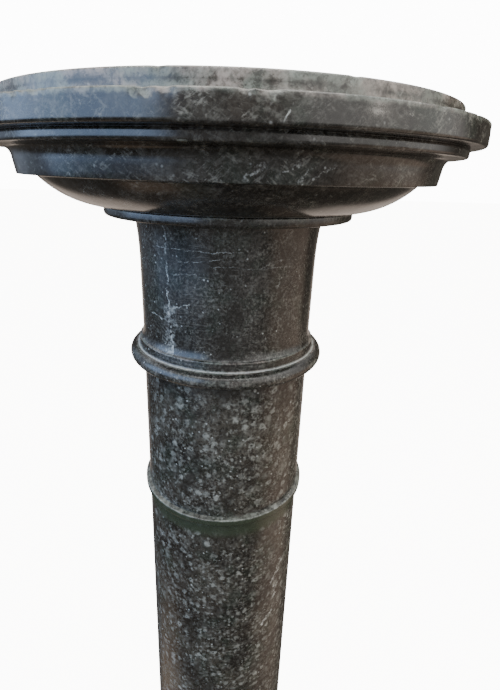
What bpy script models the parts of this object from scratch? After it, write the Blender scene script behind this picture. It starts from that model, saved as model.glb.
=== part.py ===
"""Marble column: a turned pedestal of dark green serpentine marble, stacked from five turned blocks."""
import math

import bmesh
import bpy

# Every size is in millimetres here and becomes metres as a block is turned.
MM = 0.001
FACETS = 52                 # flat sides round each block
JOINT = 0.3                 # dry joint between two blocks
MERGE = 0.01                # points closer than this are one
SHARP_ANGLE = 32.0          # degrees between two faces, above which their edge stays crisp

# Steps that a curve is cut into
EDGE_STEPS, COVE_STEPS, FLARE_STEPS, BOWL_STEPS = 2, 3, 4, 7
TORUS_STEPS, ASTRAGAL_STEPS, CAVETTO_STEPS = 8, 6, 5

HEIGHT = 1050.0
BASE_TOP = 92.0             # the shaft stands on the base here
COLLAR_TOP = 748.2          # the upper drum stands on the shaft's collar here
TORUS_UNDER = 867.0         # the neck drum stands on the upper drum here
LEDGE_TOP = 986.8           # the capital stands on the neck drum here

# Capital: a raised disc, a slab, a second fillet, a fascia and a bowl.
DISC_R, DISC_H, DISC_EDGE, DISC_LEAN = 151.6, 9.4, 1.2, 0.6
SLAB_R, SLAB_H, SLAB_EDGE, SLAB_LEAN = 167.4, 12.2, 1.0, 0.6
SLAB_UNDER_ROUND = 1.4
FILLET_R, FILLET_TOP, FILLET_LOW_R, FILLET_LOW, FILLET_ROUND = 158.8, 1027.8, 157.4, 1022.2, 1.6
COVE_R, COVE_TOP = 149.8, 1021.6
FASCIA_TOP_R, FASCIA_TOP = 145.2, 1015.4
FASCIA_LOW_R, FASCIA_LOW = 143.9, 1006.6
BOWL_R, BOWL_TOP, BOWL_FOOT_R, BOWL_BULGE = 133.2, 1006.4, 92.0, 4.4

# Neck drum: a ledge, a flared neck, a fillet and a torus.
LEDGE_R, LEDGE_LOW, LEDGE_ROUND = 92.4, 980.8, 2.6
FLARE_R, FLARE_H = 72.6, 36.0
NECK_R = 68.7
FOOT_FLARE_R, FOOT_FLARE_H = 71.4, 8.0
NECK_FILLET_R, NECK_FILLET_TOP = 72.2, 886.6
TORUS_R, TORUS_ROUND = 79.8, 6.3

# Shaft: the upper drum, then the collar and the shaft's slow swelling to its foot.
DRUM_TOP_R, DRUM_LOW_R = 68.9, 69.8
COLLAR_R, COLLAR_H, COLLAR_SLOPE, COLLAR_ROUND = 73.3, 5.6, 1.3, 1.2
SHAFT_TOP_R, SHAFT_LOW_R = 69.7, 75.0
SHAFT_FLARE_R, SHAFT_FLARE_H, SHAFT_FOOT_H = 79.0, 20.0, 5.0
ASTRAGAL_R, ASTRAGAL_ROUND = 84.0, 6.0

# Base: a ledge, a cavetto, a torus and a round plinth.
PLINTH_R, PLINTH_H, PLINTH_EDGE = 142.0, 34.0, 1.8
BASE_TORUS_R, BASE_TORUS_ROUND = 133.0, 9.0
BASE_COVE_FOOT_R = 122.0
BASE_COVE_TOP, BASE_COVE_FOOT = 82.0, 56.0
BASE_LEDGE_R, BASE_LEDGE_ROUND = 96.0, 1.5

# Finish: linear colour and roughness of each block's polished stone
SLAB_MARBLE = ((0.030, 0.036, 0.034), 0.22)
NECK_MARBLE = ((0.028, 0.032, 0.030), 0.24)
DRUM_MARBLE = ((0.045, 0.052, 0.047), 0.26)
SHAFT_MARBLE = ((0.052, 0.056, 0.050), 0.27)
BASE_MARBLE = ((0.034, 0.040, 0.037), 0.24)


def arc(start, end, bulge, steps):
    """Points of a circular arc after start, up to end. A positive bulge lies on the right hand."""
    (r0, z0), (r1, z1) = start, end
    chord = math.hypot(r1 - r0, z1 - z0)
    radius = (chord * chord / 4 + bulge * bulge) / (2 * abs(bulge))
    half = 2 * math.atan2(2 * abs(bulge), chord)
    side = math.copysign(1.0, bulge)
    along = ((r1 - r0) / chord, (z1 - z0) / chord)
    right = (along[1] * side, -along[0] * side)
    points = []
    for step in range(1, steps + 1):
        turn = half * (2 * step / steps - 1)
        forward = chord / 2 + radius * math.sin(turn)
        outward = abs(bulge) - radius * (1 - math.cos(turn))
        points.append((r0 + along[0] * forward + right[0] * outward,
                       z0 + along[1] * forward + right[1] * outward))
    return points


def quarter(start, end, steps, level_start):
    """Points of an elliptical quarter after start, up to end, level at the start or at the end."""
    (r0, z0), (r1, z1) = start, end
    points = []
    for step in range(1, steps + 1):
        turn = math.pi / 2 * step / steps
        if level_start:
            points.append((r0 + (r1 - r0) * math.sin(turn), z0 + (z1 - z0) * (1 - math.cos(turn))))
        else:
            points.append((r0 + (r1 - r0) * (1 - math.cos(turn)), z0 + (z1 - z0) * math.sin(turn)))
    return points


def half_round(radius, top, round_size, steps):
    """Points of a half round from its top to its underside, whose widest ring has the given radius."""
    centre_r, centre_z = radius - round_size, top - round_size
    return [(centre_r + round_size * math.sin(math.pi * step / steps),
             centre_z + round_size * math.cos(math.pi * step / steps)) for step in range(steps + 1)]


def capital_profile():
    disc_low = HEIGHT - DISC_H
    slab_low = disc_low - SLAB_H
    top = [(0.0, HEIGHT), (DISC_R - DISC_EDGE, HEIGHT)]
    top += quarter(top[-1], (DISC_R, HEIGHT - DISC_EDGE), EDGE_STEPS, True)
    top += [(DISC_R + DISC_LEAN, disc_low), (SLAB_R - SLAB_LEAN - SLAB_EDGE, disc_low)]
    top += quarter(top[-1], (SLAB_R - SLAB_LEAN, disc_low - SLAB_EDGE), EDGE_STEPS, True)
    top += [(SLAB_R, slab_low + SLAB_UNDER_ROUND)]
    top += quarter(top[-1], (SLAB_R - SLAB_UNDER_ROUND, slab_low), EDGE_STEPS, False)
    top += [(FILLET_R, FILLET_TOP), (FILLET_LOW_R, FILLET_LOW + FILLET_ROUND)]
    top += quarter(top[-1], (FILLET_LOW_R - FILLET_ROUND, FILLET_LOW), EDGE_STEPS, False)
    top += [(COVE_R, COVE_TOP)]
    top += quarter(top[-1], (FASCIA_TOP_R, FASCIA_TOP), COVE_STEPS, True)
    top += [(FASCIA_LOW_R, FASCIA_LOW), (BOWL_R, BOWL_TOP)]
    top += arc(top[-1], (BOWL_FOOT_R, LEDGE_TOP + JOINT), -BOWL_BULGE, BOWL_STEPS)
    return top + [(0.0, LEDGE_TOP + JOINT)]


def neck_profile():
    flare_low = LEDGE_LOW - FLARE_H
    foot_low = NECK_FILLET_TOP
    line = [(0.0, LEDGE_TOP), (LEDGE_R, LEDGE_TOP), (LEDGE_R, LEDGE_LOW + LEDGE_ROUND)]
    line += quarter(line[-1], (LEDGE_R - LEDGE_ROUND, LEDGE_LOW), EDGE_STEPS, False)
    line += [(FLARE_R, LEDGE_LOW)]
    line += quarter(line[-1], (NECK_R, flare_low), FLARE_STEPS, True)
    line += [(NECK_R, foot_low + FOOT_FLARE_H)]
    line += quarter(line[-1], (FOOT_FLARE_R, foot_low), EDGE_STEPS, False)
    torus_top = TORUS_UNDER + JOINT + 2 * TORUS_ROUND
    line += [(NECK_FILLET_R, torus_top)]
    line += half_round(TORUS_R, torus_top, TORUS_ROUND, TORUS_STEPS)
    return line + [(0.0, TORUS_UNDER + JOINT)]


def drum_profile():
    return [(0.0, TORUS_UNDER), (DRUM_TOP_R, TORUS_UNDER),
            (DRUM_LOW_R, COLLAR_TOP + JOINT), (0.0, COLLAR_TOP + JOINT)]


def shaft_profile():
    collar_low = COLLAR_TOP - COLLAR_SLOPE - COLLAR_H
    foot_top = BASE_TOP + JOINT + 2 * ASTRAGAL_ROUND
    flare_low = foot_top + SHAFT_FOOT_H
    line = [(0.0, COLLAR_TOP), (DRUM_LOW_R, COLLAR_TOP), (COLLAR_R, COLLAR_TOP - COLLAR_SLOPE),
            (COLLAR_R, collar_low + COLLAR_ROUND)]
    line += quarter(line[-1], (COLLAR_R - COLLAR_ROUND, collar_low), EDGE_STEPS, False)
    line += [(SHAFT_TOP_R, collar_low - COLLAR_ROUND)]
    line += [(SHAFT_LOW_R, flare_low + SHAFT_FLARE_H)]
    line += quarter(line[-1], (SHAFT_FLARE_R, flare_low), COVE_STEPS, False)
    line += [(SHAFT_FLARE_R, foot_top)]
    line += half_round(ASTRAGAL_R, foot_top, ASTRAGAL_ROUND, ASTRAGAL_STEPS)
    return line + [(0.0, BASE_TOP + JOINT)]


def base_profile():
    torus_top = PLINTH_H + 2 * BASE_TORUS_ROUND
    line = [(0.0, BASE_TOP), (BASE_LEDGE_R - BASE_LEDGE_ROUND, BASE_TOP)]
    line += quarter(line[-1], (BASE_LEDGE_R, BASE_TOP - BASE_LEDGE_ROUND), EDGE_STEPS, True)
    line += [(BASE_LEDGE_R, BASE_COVE_TOP)]
    line += quarter(line[-1], (BASE_COVE_FOOT_R, BASE_COVE_FOOT), CAVETTO_STEPS, False)
    line += [(BASE_COVE_FOOT_R, torus_top)]
    line += half_round(BASE_TORUS_R, torus_top, BASE_TORUS_ROUND, ASTRAGAL_STEPS)
    line += [(PLINTH_R - PLINTH_EDGE, PLINTH_H)]
    line += quarter(line[-1], (PLINTH_R, PLINTH_H - PLINTH_EDGE), EDGE_STEPS, True)
    line += [(PLINTH_R, PLINTH_EDGE), (PLINTH_R - PLINTH_EDGE, 0.0)]
    return line + [(0.0, 0.0)]


def marble(name, finish):
    """A polished stone finish."""
    colour, roughness = finish
    material = bpy.data.materials.new(name)
    material.use_nodes = True
    shader = material.node_tree.nodes["Principled BSDF"]
    shader.inputs["Base Color"].default_value = (*colour, 1.0)
    shader.inputs["Roughness"].default_value = roughness
    shader.inputs["Metallic"].default_value = 0.0
    material.diffuse_color = (*colour, 1.0)
    return material


def turned(name, profile, material):
    """One block turned about the column's axis from its half profile, axis to axis."""
    mesh = bpy.data.meshes.new(name)
    work = bmesh.new()
    rings = [work.verts.new((r * MM, 0.0, z * MM)) for r, z in profile]
    edges = [work.edges.new(pair) for pair in zip(rings, rings[1:])]
    bmesh.ops.spin(work, geom=rings + edges, cent=(0, 0, 0), axis=(0, 0, 1), angle=2 * math.pi,
                   steps=FACETS, use_merge=True, use_duplicate=False)
    bmesh.ops.remove_doubles(work, verts=work.verts, dist=MERGE * MM)
    bmesh.ops.recalc_face_normals(work, faces=work.faces)
    work.to_mesh(mesh)
    work.free()
    mesh.shade_smooth()
    mesh.set_sharp_from_angle(angle=math.radians(SHARP_ANGLE))
    mesh.materials.append(material)
    block = bpy.data.objects.new(name, mesh)
    bpy.context.scene.collection.objects.link(block)
    return block


def main():
    for leftover in list(bpy.data.objects):
        bpy.data.objects.remove(leftover, do_unlink=True)
    turned("capital", capital_profile(), marble("slab_marble", SLAB_MARBLE))
    turned("neck_drum", neck_profile(), marble("neck_marble", NECK_MARBLE))
    turned("upper_drum", drum_profile(), marble("drum_marble", DRUM_MARBLE))
    turned("lower_shaft", shaft_profile(), marble("shaft_marble", SHAFT_MARBLE))
    turned("base", base_profile(), marble("base_marble", BASE_MARBLE))


main()
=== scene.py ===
import math

import bpy
import numpy as np
from mathutils import Matrix, Vector


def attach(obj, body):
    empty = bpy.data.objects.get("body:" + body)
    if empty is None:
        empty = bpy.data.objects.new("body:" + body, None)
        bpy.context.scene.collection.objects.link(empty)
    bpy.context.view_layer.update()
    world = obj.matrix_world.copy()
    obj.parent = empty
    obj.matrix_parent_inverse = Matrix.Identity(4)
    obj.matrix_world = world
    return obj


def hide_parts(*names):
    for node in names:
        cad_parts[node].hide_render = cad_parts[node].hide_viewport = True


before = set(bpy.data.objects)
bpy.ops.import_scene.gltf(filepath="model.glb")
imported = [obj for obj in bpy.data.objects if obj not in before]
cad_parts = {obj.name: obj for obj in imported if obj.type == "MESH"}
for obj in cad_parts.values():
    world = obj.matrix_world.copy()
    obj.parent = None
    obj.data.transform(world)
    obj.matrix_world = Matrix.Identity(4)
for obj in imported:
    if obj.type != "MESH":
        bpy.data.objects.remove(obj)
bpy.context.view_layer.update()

mm = 0.001               # the profiles below are in millimetres, the scene is in metres


def toLinear(hexColour):
    # sRGB hex to linear light: the two-part sRGB curve, channel by channel
    channels = [int(hexColour[i:i + 2], 16) / 255 for i in (0, 2, 4)]
    return tuple(c / 12.92 if c <= 0.04045 else ((c + 0.055) / 1.055) ** 2.4 for c in channels) + (1.0,)


# Camera: a phone held close to the column's head, tipped down along the shaft

camera = {
    "imageWidth": 500, "imageHeight": 690,
    "focalPixels": 436.6, "centreX": 238.7,
    "distance": 0.350, "eyeHeight": 1.01185,
    "pitch": 21.70, "roll": 1.81, "yaw": 1.76,      # degrees down, clockwise, and to the right
    "sensor": 36.0, "clipStart": 0.01,
}


def buildCamera(spec):
    pitch, roll, yaw = (math.radians(spec[k]) for k in ("pitch", "roll", "yaw"))
    forward = Vector((math.sin(yaw) * math.cos(pitch), math.cos(yaw) * math.cos(pitch), -math.sin(pitch)))
    level = Vector((math.cos(yaw), -math.sin(yaw), 0.0))
    upright = level.cross(forward)
    right = level * math.cos(roll) + upright * math.sin(roll)
    up = upright * math.cos(roll) - level * math.sin(roll)
    data = bpy.data.cameras.new("phoneCamera")
    data.sensor_width = spec["sensor"]
    data.lens = spec["focalPixels"] * spec["sensor"] / spec["imageHeight"]
    data.shift_x = (spec["imageWidth"] / 2 - spec["centreX"]) / spec["imageHeight"]
    data.clip_start = spec["clipStart"]
    holder = bpy.data.objects.new("phoneCamera", data)
    bpy.context.scene.collection.objects.link(holder)
    turn = Matrix((right, up, -forward)).transposed().to_4x4()
    holder.matrix_world = Matrix.Translation((0.0, -spec["distance"], spec["eyeHeight"])) @ turn
    bpy.context.scene.camera = holder


buildCamera(camera)
print("camera placed")


# Turned surfaces: a half profile with softened corners, carried round the column's axis

turning = {
    "bendPoints": 6, "bendShare": 0.45,       # points on a softened corner, and its most of a side
    "shortest": 0.001,                        # mm, a straight run shorter than this gets no points
    # mm off the true round, and its waves: share, lumps around, start and turn per mm of height in radians
    "unevenness": 0.05, "waves": ((1.0, 3, 0.6, 0.0), (0.7, 7, 2.1, 0.0), (1.0, 5, 0.0, 1 / 19)),
    "poleDust": (0.2, 0.0),                   # at the middle of the top and of the underside
}

# how a chip's hollow is flattened, frayed, sagged and dusted; below the turning height the sag goes upwards
chipShape = {"squat": 1.8, "fray": 0.35, "frayAcross": 4.1, "frayDown": 3.3, "sag": 0.45, "sagTurn": 965.0,
             "dustAndHighlight": 0.85, "dustSpread": 3.0}


def softProfile(corners, longest):
    # Each corner is (radius, height, softening, dust and painted highlight), in mm. A softened corner is a
    # quadratic curve between two points that lie the softening away from it on its two sides. Straight runs
    # are cut into equal lengths no longer than the longest, and the share of dust and painted highlight runs
    # evenly from corner to corner.
    corners = np.array(corners, float)
    count = turning["bendPoints"]
    pieces = []
    for i, (r, z, soft, dustAndHighlight) in enumerate(corners):
        if soft == 0 or i in (0, len(corners) - 1):
            pieces.append(np.array([[r, z, dustAndHighlight]]))
            continue
        here = np.array([r, z])
        ends = []
        for other in (corners[i - 1], corners[i + 1]):
            way = other[:2] - here
            length = np.hypot(*way)
            ends.append(here + way * min(soft, turning["bendShare"] * length) / length)
        t = np.linspace(0, 1, count)[:, None]
        bend = (1 - t) ** 2 * ends[0] + 2 * t * (1 - t) * here + t ** 2 * ends[1]
        pieces.append(np.hstack([bend, np.full((count, 1), dustAndHighlight)]))
    line = [pieces[0]]
    for piece in pieces[1:]:
        start, end = line[-1][-1], piece[0]
        length = np.hypot(*(end - start)[:2])
        if length > turning["shortest"]:
            steps = int(np.ceil(length / longest))
            line.append(start + (end - start) * np.linspace(0, 1, steps + 1)[1:, None])
        if len(piece) > 1:
            line.append(piece[1:])
    return np.vstack(line)


def arcCorners(start, end, bulge, count):
    # Points on the circle through start and end that stands the bulge to the right of their chord
    start, end = np.array(start, float), np.array(end, float)
    chord = np.hypot(*(end - start))
    radius = (chord ** 2 / 4 + bulge ** 2) / (2 * abs(bulge))
    turn = 2 * math.atan2(2 * abs(bulge), chord) * np.linspace(-1, 1, count)
    along = (end - start) / chord
    right = np.array([along[1], -along[0]]) * np.sign(bulge)
    forward = chord / 2 + radius * np.sin(turn)
    outward = abs(bulge) - radius * (1 - np.cos(turn))
    points = start + np.outer(forward, along) + np.outer(outward, right)
    return [(r, z, 0.0, 0.0) for r, z in points]


def quarterCorners(start, end, levelStart, dustAndHighlights):
    # A quarter of an ellipse from start to end, level at its start or else at its end, a point for each share
    # of dust and painted highlight
    (r0, z0), (r1, z1) = start, end
    t = np.linspace(0, math.pi / 2, len(dustAndHighlights))
    if levelStart:
        radii, heights = r0 + (r1 - r0) * np.sin(t), z0 + (z1 - z0) * (1 - np.cos(t))
    else:
        radii, heights = r0 + (r1 - r0) * (1 - np.cos(t)), z0 + (z1 - z0) * np.sin(t)
    return [(r, z, 0.0, dustAndHighlight) for r, z, dustAndHighlight in zip(radii, heights, dustAndHighlights)]


def halfRoundCorners(widest, top, size, dustAndHighlights):
    # Half a circle of the given size from its top to its underside, widest halfway, a point for each share of
    # dust and painted highlight
    t = np.linspace(0, math.pi, len(dustAndHighlights))
    radii, heights = widest - size + size * np.sin(t), top - size + size * np.cos(t)
    return [(r, z, 0.0, dustAndHighlight) for r, z, dustAndHighlight in zip(radii, heights, dustAndHighlights)]


def turnedBlock(name, corners, around, longest=3.0, chips=()):
    # Point (u, v): profile point v turned by angle u about +Z. Each chip pulls the points near its centre
    # in and down by a rounded hollow, and a slow sum of sines keeps the round from being perfect.
    line = softProfile(corners, longest)
    inner = line[1:-1]
    angles = 2 * math.pi * np.arange(around) / around
    radius = np.repeat(inner[:, 0:1], around, axis=1)
    height = np.repeat(inner[:, 1:2], around, axis=1)
    dustAndHighlight = np.repeat(inner[:, 2:3], around, axis=1)
    wave = sum(share * np.sin(lumps * angles + start + turn * height)
               for share, lumps, start, turn in turning["waves"])
    tallest = sum(share for share, *_ in turning["waves"])
    radius = radius - turning["unevenness"] * (wave + tallest) / tallest
    for chipAngle, chipHeight, chipRadius, size, depth in chips:
        arcAway = radius * ((angles - math.radians(chipAngle) + math.pi) % (2 * math.pi) - math.pi)
        away = np.sqrt(arcAway ** 2 + (height - chipHeight) ** 2 * chipShape["squat"]
                       + (radius - chipRadius) ** 2)
        rough = 1 + (chipShape["fray"] * np.sin(arcAway * chipShape["frayAcross"] + chipAngle)
                     * np.sin(height * chipShape["frayDown"] + chipAngle))
        hollow = np.clip(1 - (away / (size * rough)) ** 2, 0, 1)
        radius = radius - depth * hollow
        height = height - chipShape["sag"] * depth * hollow * np.sign(chipHeight - chipShape["sagTurn"])
        dustAndHighlight = np.maximum(dustAndHighlight, chipShape["dustAndHighlight"] * np.clip(hollow * chipShape["dustSpread"], 0, 1))
    x, y = radius * np.cos(angles), radius * np.sin(angles)
    points = np.stack([x, y, height], -1).reshape(-1, 3)
    poles = np.array([[0, 0, line[0, 1]], [0, 0, line[-1, 1]]])
    points = np.vstack([points, poles]) * mm
    rows, last = len(inner), len(inner) * around
    down, spoke = np.meshgrid(np.arange(rows - 1), np.arange(around), indexing="ij")
    beside = (spoke + 1) % around
    quads = np.stack([down * around + spoke, (down + 1) * around + spoke,
                      (down + 1) * around + beside, down * around + beside], -1).reshape(-1, 4)
    first, second = spoke[0], beside[0]
    topFan = np.stack([first, second, np.full(around, last)], -1)
    lowFan = np.stack([(rows - 1) * around + second, (rows - 1) * around + first,
                       np.full(around, last + 1)], -1)
    mesh = bpy.data.meshes.new(name)
    mesh.from_pydata(points.tolist(), [], quads.tolist() + topFan.tolist() + lowFan.tolist())
    mesh.shade_smooth()
    layer = mesh.attributes.new("dustAndHighlight", "FLOAT", "POINT")
    layer.data.foreach_set("value", np.append(dustAndHighlight.reshape(-1), turning["poleDust"]).astype(np.float32))
    block = bpy.data.objects.new(name, mesh)
    bpy.context.scene.collection.objects.link(block)
    return block


def standIn(piece, node, material):
    piece.data.materials.append(material)
    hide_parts(node)
    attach(piece, "root")


# Stone: serpentine marble, turned and polished. The eye gets a dark ground with green and brown clouds, pale
# mottling, crystals and rosettes under a clear gloss, and greyish dust where the polish has worn off. The
# same greyish wash also carries painted highlights on the neck's torus, foot and ledge.

stone = {
    # sRGB hex colours
    "ground": "1c1a17", "cloud": "36332e", "pale": "86857c", "pit": "0f0f0e", "greenTint": "26342b",
    "brownTint": "37302a", "spot": "adafa6", "fleck": "d3d6cf", "dustAndHighlight": "92988c", "warmDustAndHighlight": "ada297",
    "bandColour": "313a2b",
    # widths in mm. Real crystals are well under 1 mm, too fine to show, so the grain is drawn coarser
    "cloudSize": 38.0, "mottleSize": 9.0, "grainSize": 2.2, "wispSize": 7.0, "spotSize": 6.0,
    "fleckSize": 2.6, "driftSize": 26.0, "lineSize": 18.0, "wornSize": 20.0, "breakSize": 4.5,
    "swaySize": 11.0, "tintSize": 26.0, "dripSize": 15.0,
    # how far the patterns are pushed aside, in mm, and how strongly each is laid on
    "swirl": 8.0, "green": 0.45, "brown": 0.45, "mottle": 0.26, "wisps": 0.0, "grain": 0.40,
    "darkGrain": 0.7, "spots": 0.0, "flecks": 0.5, "drifts": 0.55, "scratches": 0.0, "dustAndHighlightAmount": 0.72,
    # small spots and dark hearts beside the spots, the share of cells that show, and how far the drips reach
    "smallSpots": 0.7, "hearts": 1.9, "spotShare": 0.6, "fleckShare": 0.08, "drips": 0.9,
    # each seam: x, z, slope in degrees, half length, half width and wandering in mm, strength. Then the share
    # of a seam's width that is solid, and the length in mm over which its ends fade
    "seams": (), "seamCore": 0.3, "seamTaper": 4.0,
    # a level band of plain stone: its strength, its heights in mm, and its soft edges below, inside and above
    "band": 0.0, "bandLow": 728.0, "bandHigh": 746.0, "bandFade": (5.0, 4.0, 1.0),
    # roughness, how much smoother and rougher the mottling makes it, and what a full share of dust and
    # painted highlight adds to it
    "roughness": 0.30, "roughSpread": (0.03, 0.05), "dustRoughness": 0.3, "ior": 1.56,
    "bump": 0.15, "bumpMottle": 0.2, "bumpGrain": 0.08,
}

# each noise: its size by name and the share of it, then what differs from a plain noise. The stretch squeezes
# it along an axis and the lean tips it in degrees
plainNoise = {"detail": 4.0, "rough": 0.6, "stretch": (1.0, 1.0, 1.0), "offset": (0.0, 0.0, 0.0), "lean": 0.0}
noisePatterns = {
    "clouds": ("cloudSize", 1.0, {}),
    "greenPatches": ("cloudSize", 0.6, {"offset": (0.0, 0.5, 0.2)}),
    "brownPatches": ("cloudSize", 0.8, {"offset": (0.7, 0.2, 0.0)}),
    "mottle": ("mottleSize", 1.0, {"detail": 6.0, "rough": 0.68, "offset": (0.3, 0.1, 0.7)}),
    "uneven": ("mottleSize", 2.2, {"detail": 3.0, "offset": (0.8, 0.8, 0.2)}),
    "grain": ("grainSize", 1.0, {"detail": 3.0, "rough": 0.75, "offset": (0.9, 0.2, 0.1)}),
    "haze": ("wispSize", 2.5, {"detail": 5.0, "rough": 0.7, "offset": (0.5, 0.5, 0.1)}),
    "rightWisps": ("wispSize", 1.0, {"detail": 5.0, "rough": 0.72, "stretch": (1.0, 1.0, 3.2),
                                     "offset": (0.5, 0.5, 0.1), "lean": 38.0}),
    "leftWisps": ("wispSize", 1.0, {"detail": 5.0, "rough": 0.72, "stretch": (1.0, 1.0, 3.2),
                                    "offset": (0.1, 0.8, 0.6), "lean": -24.0}),
    "drifts": ("driftSize", 1.0, {"stretch": (1.0, 1.0, 0.7), "offset": (0.3, 0.9, 0.9)}),
    "lines": ("lineSize", 1.0, {"detail": 2.0, "stretch": (1.0, 1.0, 24.0), "offset": (0.2, 0.6, 0.0),
                                "lean": 1.5}),
    "worn": ("wornSize", 1.0, {"offset": (0.1, 0.9, 0.4)}),
    "breaks": ("breakSize", 1.0, {"detail": 5.0, "rough": 0.75, "offset": (0.6, 0.0, 0.0)}),
    "sway": ("swaySize", 1.0, {"rough": 0.7, "offset": (0.0, 0.0, 0.9)}),
    "tints": ("tintSize", 1.0, {"offset": (0.2, 0.2, 0.8)}),
    "drips": ("dripSize", 1.0, {"rough": 0.65, "stretch": (1.0, 1.0, 0.6), "offset": (0.4, 0.1, 0.5)}),
}

# each pattern of cells: its size by name, the share of it, and its offset
cellPatterns = {
    "rosettes": ("spotSize", 1.0, (0.11, 0.0, 0.0)),
    "smallRosettes": ("spotSize", 0.5, (0.0, 0.37, 0.0)),
    "flecks": ("fleckSize", 1.0, (0.0, 0.0, 0.61)),
}

# where a pattern begins to show and where it shows in full, then the shares there if they aren't 0 and 1. The
# front is a depth in metres, and the share of dust and painted highlight is cut after the drips are added to
# it
cuts = {
    "clouds": (0.36, 0.66), "patches": (0.48, 0.64), "mottle": (0.50, 0.70), "haze": (0.46, 0.66),
    "wisps": (0.52, 0.63), "hazyWisps": (0.0, 1.0, 0.25, 1.0), "crystals": (0.49, 0.64),
    "unevenCrystals": (0.40, 0.60, 0.35, 1.35), "darkCrystals": (0.48, 0.36), "fray": (0.3, 0.7, 0.14, -0.12),
    "rosette": (0.54, 0.16), "heart": (0.20, 0.08), "ringed": (0.50, 0.52), "fleck": (0.36, 0.12),
    "drifts": (0.50, 0.64), "lines": (0.61, 0.65), "worn": (0.50, 0.60), "breaks": (0.42, 0.56),
    "front": (0.0, -0.01), "seamGrain": (0.40, 0.58, 0.45, 1.25), "tints": (0.42, 0.60), "dustAndHighlight": (0.67, 1.07),
    "dustMottle": (0.34, 0.62, 0.30, 1.0), "dustClouds": (0.38, 0.58, 0.62, 1.0),
    "dustGrain": (0.36, 0.60, 0.55, 1.15), "creaseDustAndHighlight": (0.86, 0.93), "creaseGrain": (0.36, 0.60, 0.45, 0.95),
    "roughMottle": (0.3, 0.7),
}


def addNode(tree, kind, inputs=None, **settings):
    # Adds one node, sets its properties, and links or sets its inputs by name or number
    node = tree.nodes.new(kind)
    for key, value in settings.items():
        setattr(node, key, value)
    for key, value in (inputs or {}).items():
        if isinstance(value, bpy.types.NodeSocket):
            tree.links.new(value, node.inputs[key])
        else:
            node.inputs[key].default_value = value
    return node


def shareWhere(tree, amount, masks):
    # The amount times every mask. A mask is a value, where it begins and where it is full, then its shares
    # at those two if they aren't 0 and 1, with a smooth step between them.
    for value, begins, full, *ends in masks:
        atBegin, atFull = ends or (0.0, 1.0)
        mask = addNode(tree, "ShaderNodeMapRange",
                       {"Value": value, "From Min": begins, "From Max": full,
                        "To Min": atBegin, "To Max": atFull},
                       interpolation_type="SMOOTHSTEP", clamp=True)
        amount = addNode(tree, "ShaderNodeMath", {0: amount, 1: mask.outputs["Result"]},
                         operation="MULTIPLY").outputs[0]
    return amount


def washOver(tree, under, over, amount, masks):
    # Lays one colour over another by the share that the masks leave, and returns that share too
    share = shareWhere(tree, amount, masks)
    mixed = addNode(tree, "ShaderNodeMix", {0: share, 6: under, 7: over}, data_type="RGBA").outputs[2]
    return mixed, share


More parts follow.
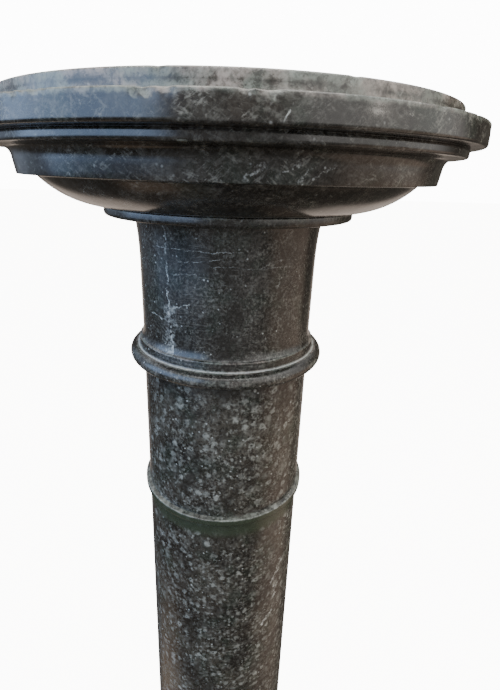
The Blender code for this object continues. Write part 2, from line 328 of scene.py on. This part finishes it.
def polishedSerpentine(name, look):
    material = bpy.data.materials.new(name)
    material.use_nodes = True
    tree = material.node_tree
    shader = tree.nodes["Principled BSDF"]
    paint = {key: toLinear(value) for key, value in look.items() if isinstance(value, str)}
    position = addNode(tree, "ShaderNodeTexCoord").outputs["Object"]
    _, deep, high = addNode(tree, "ShaderNodeSeparateXYZ", {"Vector": position}).outputs

    # every pattern reads a place that a slow noise has pushed aside
    slow = addNode(tree, "ShaderNodeTexNoise",
                   {"Vector": position, "Scale": 1 / (look["cloudSize"] * mm), "Detail": 3.0})
    push = addNode(tree, "ShaderNodeVectorMath", {0: slow.outputs["Color"], 1: (0.5, 0.5, 0.5)},
                   operation="SUBTRACT")
    warped = addNode(tree, "ShaderNodeVectorMath",
                     {0: push.outputs[0], 1: (look["swirl"] * mm,) * 3, 2: position},
                     operation="MULTIPLY_ADD").outputs[0]
    noise = {}
    for key, (size, share, changes) in noisePatterns.items():
        pattern = {**plainNoise, **changes}
        where = warped
        if pattern["lean"]:
            where = addNode(tree, "ShaderNodeVectorRotate",
                            {"Vector": where, "Angle": math.radians(pattern["lean"])},
                            rotation_type="Y_AXIS").outputs[0]
        where = addNode(tree, "ShaderNodeMapping", {"Vector": where, "Location": pattern["offset"],
                                                    "Scale": pattern["stretch"]}).outputs[0]
        noise[key] = addNode(tree, "ShaderNodeTexNoise",
                             {"Vector": where, "Scale": 1 / (look[size] * share * mm),
                              "Detail": pattern["detail"], "Roughness": pattern["rough"]}).outputs["Fac"]
    cells = {}
    for key, (size, share, offset) in cellPatterns.items():
        where = addNode(tree, "ShaderNodeMapping", {"Vector": warped, "Location": offset}).outputs[0]
        cell = addNode(tree, "ShaderNodeTexVoronoi",
                       {"Vector": where, "Scale": 1 / (look[size] * share * mm)}).outputs
        drawn = addNode(tree, "ShaderNodeSeparateColor", {"Color": cell["Color"]}).outputs
        cells[key] = cell["Distance"], drawn[0], drawn[1]

    # washes over the dark ground: grey clouds, green and brown patches, then pale mottling
    washes = [("cloud", 1.0, [(noise["clouds"], *cuts["clouds"])]),
              ("greenTint", look["green"], [(noise["greenPatches"], *cuts["patches"])]),
              ("brownTint", look["brown"], [(noise["brownPatches"], *cuts["patches"])]),
              ("pale", look["mottle"], [(noise["mottle"], *cuts["mottle"])])]

    # wisps: short pale strokes that lean both ways, thickest in a soft haze
    haze = shareWhere(tree, 1.0, [(noise["haze"], *cuts["haze"])])
    washes += [("pale", look["wisps"], [(noise[side], *cuts["wisps"]), (haze, *cuts["hazyWisps"])])
               for side in ("rightWisps", "leftWisps")]

    # grain: light crystals where the fine noise is high, near-black ones where it is low
    washes += [("pale", look["grain"], [(noise["grain"], *cuts["crystals"]),
                                        (noise["uneven"], *cuts["unevenCrystals"])]),
               ("pit", look["darkGrain"], [(noise["grain"], *cuts["darkCrystals"])])]

    # rosettes of two sizes with frayed edges, each of its own brightness, some of them with a dark heart
    fray = shareWhere(tree, 1.0, [(noise["grain"], *cuts["fray"])])
    for key, amount in (("rosettes", look["spots"]), ("smallRosettes", look["spots"] * look["smallSpots"])):
        away, bright, kind = cells[key]
        frayed = addNode(tree, "ShaderNodeMath", {0: away, 1: fray}, operation="ADD").outputs[0]
        shown = (bright, 1.0 - look["spotShare"], 1.0)
        washes += [("spot", amount, [(frayed, *cuts["rosette"]), shown]),
                   ("pit", amount * look["hearts"],
                    [(frayed, *cuts["heart"]), (kind, *cuts["ringed"]), shown])]

    # small bright flecks, then drifts of darker and plainer stone a few centimetres wide
    away, bright, _ = cells["flecks"]
    washes += [("fleck", look["flecks"], [(away, *cuts["fleck"]), (bright, 1.0 - look["fleckShare"], 1.0)]),
               ("ground", look["drifts"], [(noise["drifts"], *cuts["drifts"])])]

    # level scratches left by wiping: a noise squeezed in height, kept to patches
    washes.append(("pale", look["scratches"],
                   [(noise["lines"], *cuts["lines"]), (noise["worn"], *cuts["worn"])]))

    # seams on the front: each runs through its own (x, z) at its own slope, wanders, and is broken by grain
    onFront = shareWhere(tree, 1.0, [(noise["breaks"], *cuts["breaks"]), (deep, *cuts["front"]),
                                     (noise["grain"], *cuts["seamGrain"])])
    for seamX, seamZ, slope, reach, width, wander, strength in look["seams"]:
        right, up = math.cos(math.radians(slope)), math.sin(math.radians(slope))
        aside = addNode(tree, "ShaderNodeVectorMath", {0: position, 1: (-up, 0.0, right)},
                        operation="DOT_PRODUCT").outputs["Value"]
        aside = addNode(tree, "ShaderNodeMath", {0: noise["sway"], 1: wander * mm, 2: aside},
                        operation="MULTIPLY_ADD").outputs[0]
        ahead = addNode(tree, "ShaderNodeVectorMath", {0: position, 1: (right, 0.0, up)},
                        operation="DOT_PRODUCT").outputs["Value"]
        away = []
        for run, start in ((aside, seamX * up - seamZ * right - wander / 2),
                           (ahead, -seamX * right - seamZ * up)):
            run = addNode(tree, "ShaderNodeMath", {0: run, 1: start * mm}, operation="ADD").outputs[0]
            away.append(addNode(tree, "ShaderNodeMath", {0: run}, operation="ABSOLUTE").outputs[0])
        washes.append(("fleck", onFront, [
            (away[0], width * mm, width * look["seamCore"] * mm),
            (away[1], reach * mm, (reach - look["seamTaper"]) * mm, 0.0, strength)]))

    # the level band, then every wash in turn, apart from those that this stone doesn't have
    below, inside, above = look["bandFade"]
    washes.append(("bandColour", look["band"],
                   [(high, (look["bandLow"] - below) * mm, (look["bandLow"] + inside) * mm),
                    (high, (look["bandHigh"] + above) * mm, look["bandHigh"] * mm)]))
    colour = paint["ground"]
    for over, amount, masks in washes:
        if amount != 0:
            colour, _ = washOver(tree, colour, paint[over], amount, masks)

    # dust and worn polish, painted on the mesh along arrises and in creases: greenish here and beige there,
    # broken by the clouds, the mottling and the grain, and a bright line where it is thickest. The same wash
    # paints highlights on the neck's torus, foot and ledge, and along the torus's top the bright line is
    # partly a painted highlight
    dustAndHighlight = addNode(tree, "ShaderNodeAttribute", attribute_name="dustAndHighlight").outputs["Fac"]
    tint, _ = washOver(tree, paint["dustAndHighlight"], paint["warmDustAndHighlight"], 1.0, [(noise["tints"], *cuts["tints"])])
    dripping = addNode(tree, "ShaderNodeMath", {0: noise["drips"], 1: look["drips"], 2: dustAndHighlight},
                       operation="MULTIPLY_ADD").outputs[0]
    colour, dustAndHighlightShare = washOver(tree, colour, tint, look["dustAndHighlightAmount"], [
        (dripping, *cuts["dustAndHighlight"]), (noise["mottle"], *cuts["dustMottle"]),
        (noise["clouds"], *cuts["dustClouds"]), (noise["grain"], *cuts["dustGrain"])])
    # bright line where the share is thickest: dust packed in creases, and along the torus's top partly a
    # painted highlight
    colour, _ = washOver(tree, colour, paint["fleck"], 1.0, [(dustAndHighlight, *cuts["creaseDustAndHighlight"]),
                                                             (noise["grain"], *cuts["creaseGrain"])])
    smoother, rougher = look["roughSpread"]
    roughness = shareWhere(tree, 1.0, [(noise["mottle"], *cuts["roughMottle"], look["roughness"] - smoother,
                                        look["roughness"] + rougher)])
    roughness = addNode(tree, "ShaderNodeMath", {0: dustAndHighlightShare, 1: look["dustRoughness"], 2: roughness},
                        operation="MULTIPLY_ADD").outputs[0]
    height = addNode(tree, "ShaderNodeMath", {0: noise["grain"], 1: look["bumpGrain"]},
                     operation="MULTIPLY").outputs[0]
    height = addNode(tree, "ShaderNodeMath", {0: noise["mottle"], 1: look["bumpMottle"], 2: height},
                     operation="MULTIPLY_ADD").outputs[0]
    bump = addNode(tree, "ShaderNodeBump", {"Height": height, "Strength": look["bump"], "Distance": mm})
    tree.links.new(colour, shader.inputs["Base Color"])
    tree.links.new(roughness, shader.inputs["Roughness"])
    tree.links.new(bump.outputs[0], shader.inputs["Normal"])
    shader.inputs["IOR"].default_value = look["ior"]
    return material


# Every piece is listed from its top's centre to its underside's, in mm, as plain corners (radius, height,
# softening, share of dust and painted highlight), quarter ellipses (start, end, level at the start, that
# share at each point), arcs (start, end, bulge, points) and half rounds (widest radius, top, size, that share
# at each point). Around is the number of its sides, and longest the longest step along its profile where that
# isn't the usual one.

# Capital: raised disc, slab, round bead, fascia and bowl in one turned block

capital = {
    "disc": [(0.0, 1050.0, 0.0, 0.30), (121.28, 1050.0, 0.0, 0.32), (151.6, 1050.0, 1.2, 0.80),
             (151.9, 1045.5, 0.0, 0.35), (152.2, 1040.6, 0.2, 0.85)],
    "slab": [(164.4, 1040.6, 0.0, 0.45), (166.8, 1040.6, 1.2, 0.55), (166.9, 1037.4, 0.0, 0.14),
             (167.2, 1033.6, 0.0, 0.04), (167.4, 1028.4, 1.8, 0.0)],
    "bead": [(157.9, 1027.8, 0.2, 0.0), (158.55, 1026.7, 0.8, 0.0), (158.55, 1023.7, 0.7, 0.0),
             (158.1, 1022.6, 0.5, 0.0), (156.0, 1022.2, 0.4, 0.10)],
    "cove": ((149.8, 1021.6), (145.2, 1015.4), True, [0.0] * 8),
    "fasciaFoot": [(143.9, 1006.6, 0.5, 0.10), (133.2, 1006.4, 0.0, 0.0)],
    "bowl": ((133.2, 1006.4), (92.0, 987.1), -4.4, 16),
    "underside": [(0.0, 987.1, 0.0, 0.0)],
    "around": 480,
    # chips: angle from +X in degrees, height, radius, size and depth in mm
    "chips": [(-124.0, 1040.4, 166.6, 3.6, 0.9), (-121.6, 1040.5, 166.6, 2.4, 0.7),
              (-119.0, 1040.4, 166.7, 3.0, 0.8), (-116.8, 1040.5, 166.7, 1.8, 0.6),
              (-57.0, 1040.4, 166.7, 3.2, 0.5), (-44.0, 1040.5, 166.7, 2.6, 0.5),
              (-146.0, 1049.8, 151.4, 3.4, 0.8), (-101.0, 1049.8, 151.4, 2.6, 0.5),
              (-70.0, 1049.9, 151.4, 3.2, 0.4), (-101.6, 1040.4, 166.6, 5.0, 1.0),
              (-98.6, 1040.4, 166.6, 3.4, 0.8), (-88.0, 1040.4, 166.6, 3.4, 0.9),
              (-85.2, 1040.4, 166.6, 4.6, 1.0), (-97.0, 1022.3, 157.2, 1.8, 0.5),
              (-61.0, 1022.4, 157.2, 2.2, 0.5), (35.0, 1040.4, 166.6, 3.0, 0.7),
              (118.0, 1049.8, 151.4, 3.2, 0.6), (162.0, 1040.4, 166.6, 2.6, 0.6)],
}

capitalStone = dict(stone, mottle=0.14, wisps=0.62, wispSize=6.0, grain=0.16, darkGrain=0.5, scratches=0.12,
                    flecks=0.4, fleckShare=0.05, roughness=0.17, seams=(
                    (11.0, 1011.7, 38.0, 8.0, 0.9, 14.0, 0.38), (26.5, 1013.5, 20.0, 8.0, 0.8, 16.0, 0.34),
                    (34.0, 1011.0, 50.0, 7.0, 0.9, 14.0, 0.38), (44.0, 1013.0, 30.0, 8.0, 0.7, 14.0, 0.32),
                    (22.0, 1033.6, 66.0, 6.0, 0.6, 5.0, 0.55)))
capitalCorners = (capital["disc"] + capital["slab"] + capital["bead"] + quarterCorners(*capital["cove"])
                  + capital["fasciaFoot"] + arcCorners(*capital["bowl"])[1:] + capital["underside"])
standIn(turnedBlock("capitalBlock", capitalCorners, capital["around"], chips=capital["chips"]),
        "capital", polishedSerpentine("polishedSerpentineDark", capitalStone))
print("capital turned")


# Neck drum: ledge, flared neck, small fillet and torus

neck = {
    # the ledge's top arris: worn dust with a painted highlight line
    "ledge": [(0.0, 986.8, 0.0, 0.0), (92.4, 986.8, 0.6, 0.42), (92.4, 980.8, 2.6, 0.03)],
    "flare": ((72.6, 980.8), (68.7, 944.8), True, [0.02] * 12),
    "plainFoot": [(68.7, 903.6, 0.0, 0.0)],
    # the foot flare's share rises towards its foot and runs on to the fillet's top corner: a painted
    # highlight band over some dust
    "footFlare": ((68.7, 894.6), (71.4, 886.6), False, 0.08 + 0.50 * np.linspace(0, 1, 8) ** 2),
    "fillet": [(71.6, 886.6, 0.6, 0.50), (71.7, 885.0, 0.0, 0.05), (72.2, 881.2, 0.0, 0.05),
               (72.2, 880.3, 0.0, 0.86)],
    # the torus's share, with the fillet's last corner above it: its top is dust in the crease with a painted
    # highlight line, and its widest band (0.32) is a painted highlight with some worn polish
    "torus": (79.8, 879.9, 6.3, [0.98, 0.60] + [0.13] * 4 + [0.32] * 4 + [0.13] * 7),
    "underside": [(0.0, 867.3, 0.0, 0.0)],
    "around": 360,
}

neckStone = dict(stone, mottle=0.20, mottleSize=6.0, wisps=0.12, grainSize=1.9, grain=0.30, darkGrain=0.8,
                 spots=0.16, spotSize=4.0, spotShare=0.4, flecks=0.6, fleckShare=0.10, scratches=0.30,
                 roughness=0.21, seams=(
                     (-41.5, 955.0, 91.0, 26.0, 0.5, 8.0, 0.45), (-40.5, 918.0, 93.0, 34.0, 0.6, 9.0, 0.7),
                     (-40.5, 905.0, 88.0, 20.0, 5.5, 22.0, 0.36), (-48.5, 913.0, -8.0, 9.0, 0.6, 9.0, 0.6),
                     (-31.0, 924.5, 18.0, 9.0, 0.6, 8.0, 0.5), (-22.0, 963.0, 1.0, 32.0, 0.5, 6.0, 0.34),
                     (-19.0, 956.5, 8.0, 17.0, 0.4, 5.0, 0.36), (16.0, 953.0, -2.0, 30.0, 0.4, 6.0, 0.26),
                     (-26.0, 947.0, 6.0, 14.0, 0.4, 6.0, 0.30), (29.0, 955.4, 20.0, 9.0, 1.2, 10.0, 0.45),
                     (36.0, 943.0, 70.0, 6.0, 0.8, 9.0, 0.38)))
neckCorners = (neck["ledge"] + quarterCorners(*neck["flare"]) + neck["plainFoot"]
               + quarterCorners(*neck["footFlare"])[:-1] + neck["fillet"]
               + halfRoundCorners(*neck["torus"]) + neck["underside"])
standIn(turnedBlock("neckDrum", neckCorners, neck["around"]), "neck_drum",
        polishedSerpentine("polishedSerpentineFine", neckStone))
print("neck drum turned")


# Upper drum: a plain drum between the torus and the collar

drum = {
    "wall": [(0.0, 867.0, 0.0, 0.0), (68.9, 867.0, 0.2, 0.15), (68.9, 861.0, 0.0, 0.0),
             (69.8, 749.3, 0.0, 0.0), (69.8, 748.5, 0.1, 0.5), (0.0, 748.5, 0.0, 0.0)],
    "around": 320, "longest": 4.0,
}

drumStone = dict(stone, ground="1e1b17", cloud="403c34", drifts=0.7, driftSize=22.0, mottle=0.37,
                 mottleSize=8.0, grainSize=2.2, grain=0.34, darkGrain=0.8, spots=0.56, spotSize=7.0,
                 spotShare=0.66, flecks=0.7, fleckShare=0.10, roughness=0.27)
standIn(turnedBlock("upperDrum", drum["wall"], drum["around"], drum["longest"]), "upper_drum",
        polishedSerpentine("polishedSerpentineSpotted", drumStone))
print("upper drum turned")


# Lower shaft: collar, slowly swelling shaft, foot flare and astragal

shaft = {
    "collar": [(0.0, 748.2, 0.0, 0.0), (69.8, 748.2, 0.0, 0.42), (72.1, 747.2, 0.0, 0.36),
               (72.8, 747.0, 0.0, 0.92), (73.3, 746.9, 0.5, 0.6), (73.3, 745.9, 0.0, 0.0),
               (73.3, 741.3, 1.4, 0.0), (69.7, 740.1, 0.6, 0.0)],
    "footFlare": ((75.0, 129.3), (79.0, 109.3), False, [0.0] * 10),
    "foot": [(79.0, 105.1, 0.0, 0.05)],
    "astragal": (84.0, 104.3, 6.0, [0.6] + [0.06] * 14),
    "underside": [(0.0, 92.3, 0.0, 0.0)],
    "around": 300, "longest": 5.0,
}

shaftStone = dict(stone, ground="1c1916", cloud="3b372f", dustAndHighlight="8f958a", warmDustAndHighlight="9a9a90", drifts=0.6,
                  driftSize=24.0, mottle=0.29, mottleSize=7.0, grainSize=2.6, grain=0.30, darkGrain=0.75,
                  spots=0.56, spotSize=7.0, spotShare=0.66, flecks=0.7, fleckShare=0.10, roughness=0.27,
                  band=0.88, seams=(
                      (52.0, 664.0, 66.0, 15.0, 2.0, 22.0, 0.6), (50.8, 638.0, 86.0, 12.0, 1.6, 22.0, 0.55),
                      (44.0, 611.0, 58.0, 11.0, 1.6, 20.0, 0.6)))
shaftCorners = (shaft["collar"] + quarterCorners(*shaft["footFlare"]) + shaft["foot"]
                + halfRoundCorners(*shaft["astragal"]) + shaft["underside"])
standIn(turnedBlock("lowerShaft", shaftCorners, shaft["around"], shaft["longest"]), "lower_shaft",
        polishedSerpentine("polishedSerpentineBanded", shaftStone))
print("lower shaft turned")


# Base: ledge, cavetto, torus and round plinth, in the dark stone of the capital

base = {
    "ledge": [(0.0, 92.0, 0.0, 0.0), (96.0, 92.0, 1.5, 0.35), (96.0, 82.0, 0.3, 0.0)],
    "cavetto": ((96.0, 82.0), (122.0, 56.0), False, [0.0] * 14),
    "fillet": [(122.0, 52.8, 0.0, 0.1)],
    "torus": (133.0, 52.0, 9.0, [0.6] + [0.08] * 16),
    "plinth": [(142.0, 34.0, 1.8, 0.45), (142.0, 30.0, 0.0, 0.05), (142.0, 0.0, 1.8, 0.3)],
    "underside": [(0.0, 0.0, 0.0, 0.0)],
    "around": 480,
    "chips": [(-38.0, 33.8, 141.6, 3.4, 0.8), (-150.0, 33.8, 141.6, 2.8, 0.6), (75.0, 33.8, 141.6, 3.6, 0.7)],
}

baseCorners = (base["ledge"] + quarterCorners(*base["cavetto"])[1:] + base["fillet"]
               + halfRoundCorners(*base["torus"]) + base["plinth"] + base["underside"])
standIn(turnedBlock("basePlinth", baseCorners, base["around"], chips=base["chips"]), "base",
        polishedSerpentine("polishedSerpentinePlinth", dict(capitalStone, wisps=0.3)))
print("base turned")


# Studio: a pale floor, soft lamps and glows, and a white backdrop that only the camera sees

studio = {
    "floorSize": 40.0, "floorColour": "f6f5f2", "floorRoughness": 0.9, "floorGlow": 11.0,
    "backdropColour": "ffffff", "backdrop": 13.0, "room": ("b0a69a", 0.24),
    # glows in the room: bearing from +X, half width and soft edge in degrees, heights as sines of elevation
    # where it starts, is full, stays full and ends, colour and strength
    "glows": {
        "coolWindow": (207.0, 28.0, 14.0, (-0.32, 0.06, 0.40, 0.72), "a9c8f4", 4.5),
        "coolWindowFar": (160.0, 12.0, 24.0, (-0.30, 0.06, 0.50, 0.80), "b9cdec", 0.8),
        "greyRoom": (335.0, 24.0, 26.0, (-0.24, 0.04, 0.62, 0.92), "e4e1de", 1.9),
        "warmSide": (356.0, 19.0, 18.0, (-0.98, -0.66, -0.20, -0.02), "d6bba8", 0.98),
        "warmFloor": (165.0, 16.0, 18.0, (-0.99, -0.92, -0.84, -0.76), "d9b89a", 0.6),
        "nearSide": (270.0, 32.0, 24.0, (-0.95, -0.30, 0.20, 0.50), "c6c4c2", 0.46),
        "farFloor": (90.0, 28.0, 7.0, (-0.72, -0.58, -0.24, -0.10), "ead8ca", 0.94),
        "ceiling": (270.0, 180.0, 0.0, (0.25, 0.80, 2.0, 3.0), "f2f2f2", 1.5),
    },
    # lamps: place, aimed at, width, height, colour, watts
    "lights": {
        "softTop": ((0.0, -0.3, 2.5), (0.0, 0.0, 1.0), 1.8, 1.8, "fffdf8", 31.0),
        "smallLamp": ((1.30, -0.90, 1.45), (0.0, 0.0, 1.03), 0.10, 0.10, "fff6ea", 0.8),
    },
}


def buildStudio(s):
    half = s["floorSize"] / 2
    plane = bpy.data.meshes.new("studioFloor")
    plane.from_pydata([(-half, -half, 0), (half, -half, 0), (half, half, 0), (-half, half, 0)], [],
                      [(0, 1, 2, 3)])
    floor = bpy.data.objects.new("studioFloor", plane)
    bpy.context.scene.collection.objects.link(floor)
    paint = bpy.data.materials.new("mattPalePaint")
    paint.use_nodes = True
    skin = paint.node_tree.nodes["Principled BSDF"].inputs
    skin["Base Color"].default_value = skin["Emission Color"].default_value = toLinear(s["floorColour"])
    skin["Roughness"].default_value = s["floorRoughness"]
    skin["Emission Strength"].default_value = s["floorGlow"]
    plane.materials.append(paint)
    floor.visible_glossy = floor.visible_diffuse = False      # the dark stone mirrors the room, not the sheet
    for name, (where, aim, width, height, colour, watts) in s["lights"].items():
        lamp = bpy.data.lights.new(name, "AREA")
        lamp.shape, lamp.size, lamp.size_y = "RECTANGLE", width, height
        lamp.color, lamp.energy = toLinear(colour)[:3], watts
        holder = bpy.data.objects.new(name, lamp)
        holder.visible_camera = False
        bpy.context.scene.collection.objects.link(holder)
        turn = (Vector(aim) - Vector(where)).to_track_quat("-Z", "Y").to_matrix().to_4x4()
        holder.matrix_world = Matrix.Translation(where) @ turn
    world = bpy.data.worlds.new("softRoom")
    bpy.context.scene.world = world
    world.use_nodes = True
    tree = world.node_tree
    tree.nodes.clear()
    # each ray's height is the sine of its elevation, and level is its bearing as a flat unit vector
    ray = addNode(tree, "ShaderNodeTexCoord").outputs["Generated"]
    height = addNode(tree, "ShaderNodeSeparateXYZ", {"Vector": ray}).outputs[2]
    level = addNode(tree, "ShaderNodeVectorMath", {0: ray, 1: (1.0, 1.0, 0.0)}, operation="MULTIPLY")
    level = addNode(tree, "ShaderNodeVectorMath", {0: level.outputs[0]}, operation="NORMALIZE").outputs[0]
    colour, strength = s["room"]
    light = addNode(tree, "ShaderNodeBackground",
                    {"Color": toLinear(colour), "Strength": strength}).outputs[0]
    for bearing, width, edge, (start, full, stay, end), colour, strength in s["glows"].values():
        masks = [(height, start, full), (height, end, stay)]
        if edge:
            centre = (math.cos(math.radians(bearing)), math.sin(math.radians(bearing)), 0.0)
            facing = addNode(tree, "ShaderNodeVectorMath", {0: level, 1: centre}, operation="DOT_PRODUCT")
            masks.append((facing.outputs["Value"], math.cos(math.radians(width + edge)),
                          math.cos(math.radians(width))))
        glow = addNode(tree, "ShaderNodeBackground",
                       {"Color": toLinear(colour), "Strength": shareWhere(tree, strength, masks)})
        light = addNode(tree, "ShaderNodeAddShader", {0: light, 1: glow.outputs[0]}).outputs[0]
    seen = addNode(tree, "ShaderNodeLightPath").outputs["Is Camera Ray"]
    backdrop = addNode(tree, "ShaderNodeBackground",
                       {"Color": toLinear(s["backdropColour"]), "Strength": s["backdrop"]})
    both = addNode(tree, "ShaderNodeMixShader", {0: seen, 1: light, 2: backdrop.outputs[0]})
    addNode(tree, "ShaderNodeOutputWorld", {"Surface": both.outputs[0]})


buildStudio(studio)
print("studio lit")
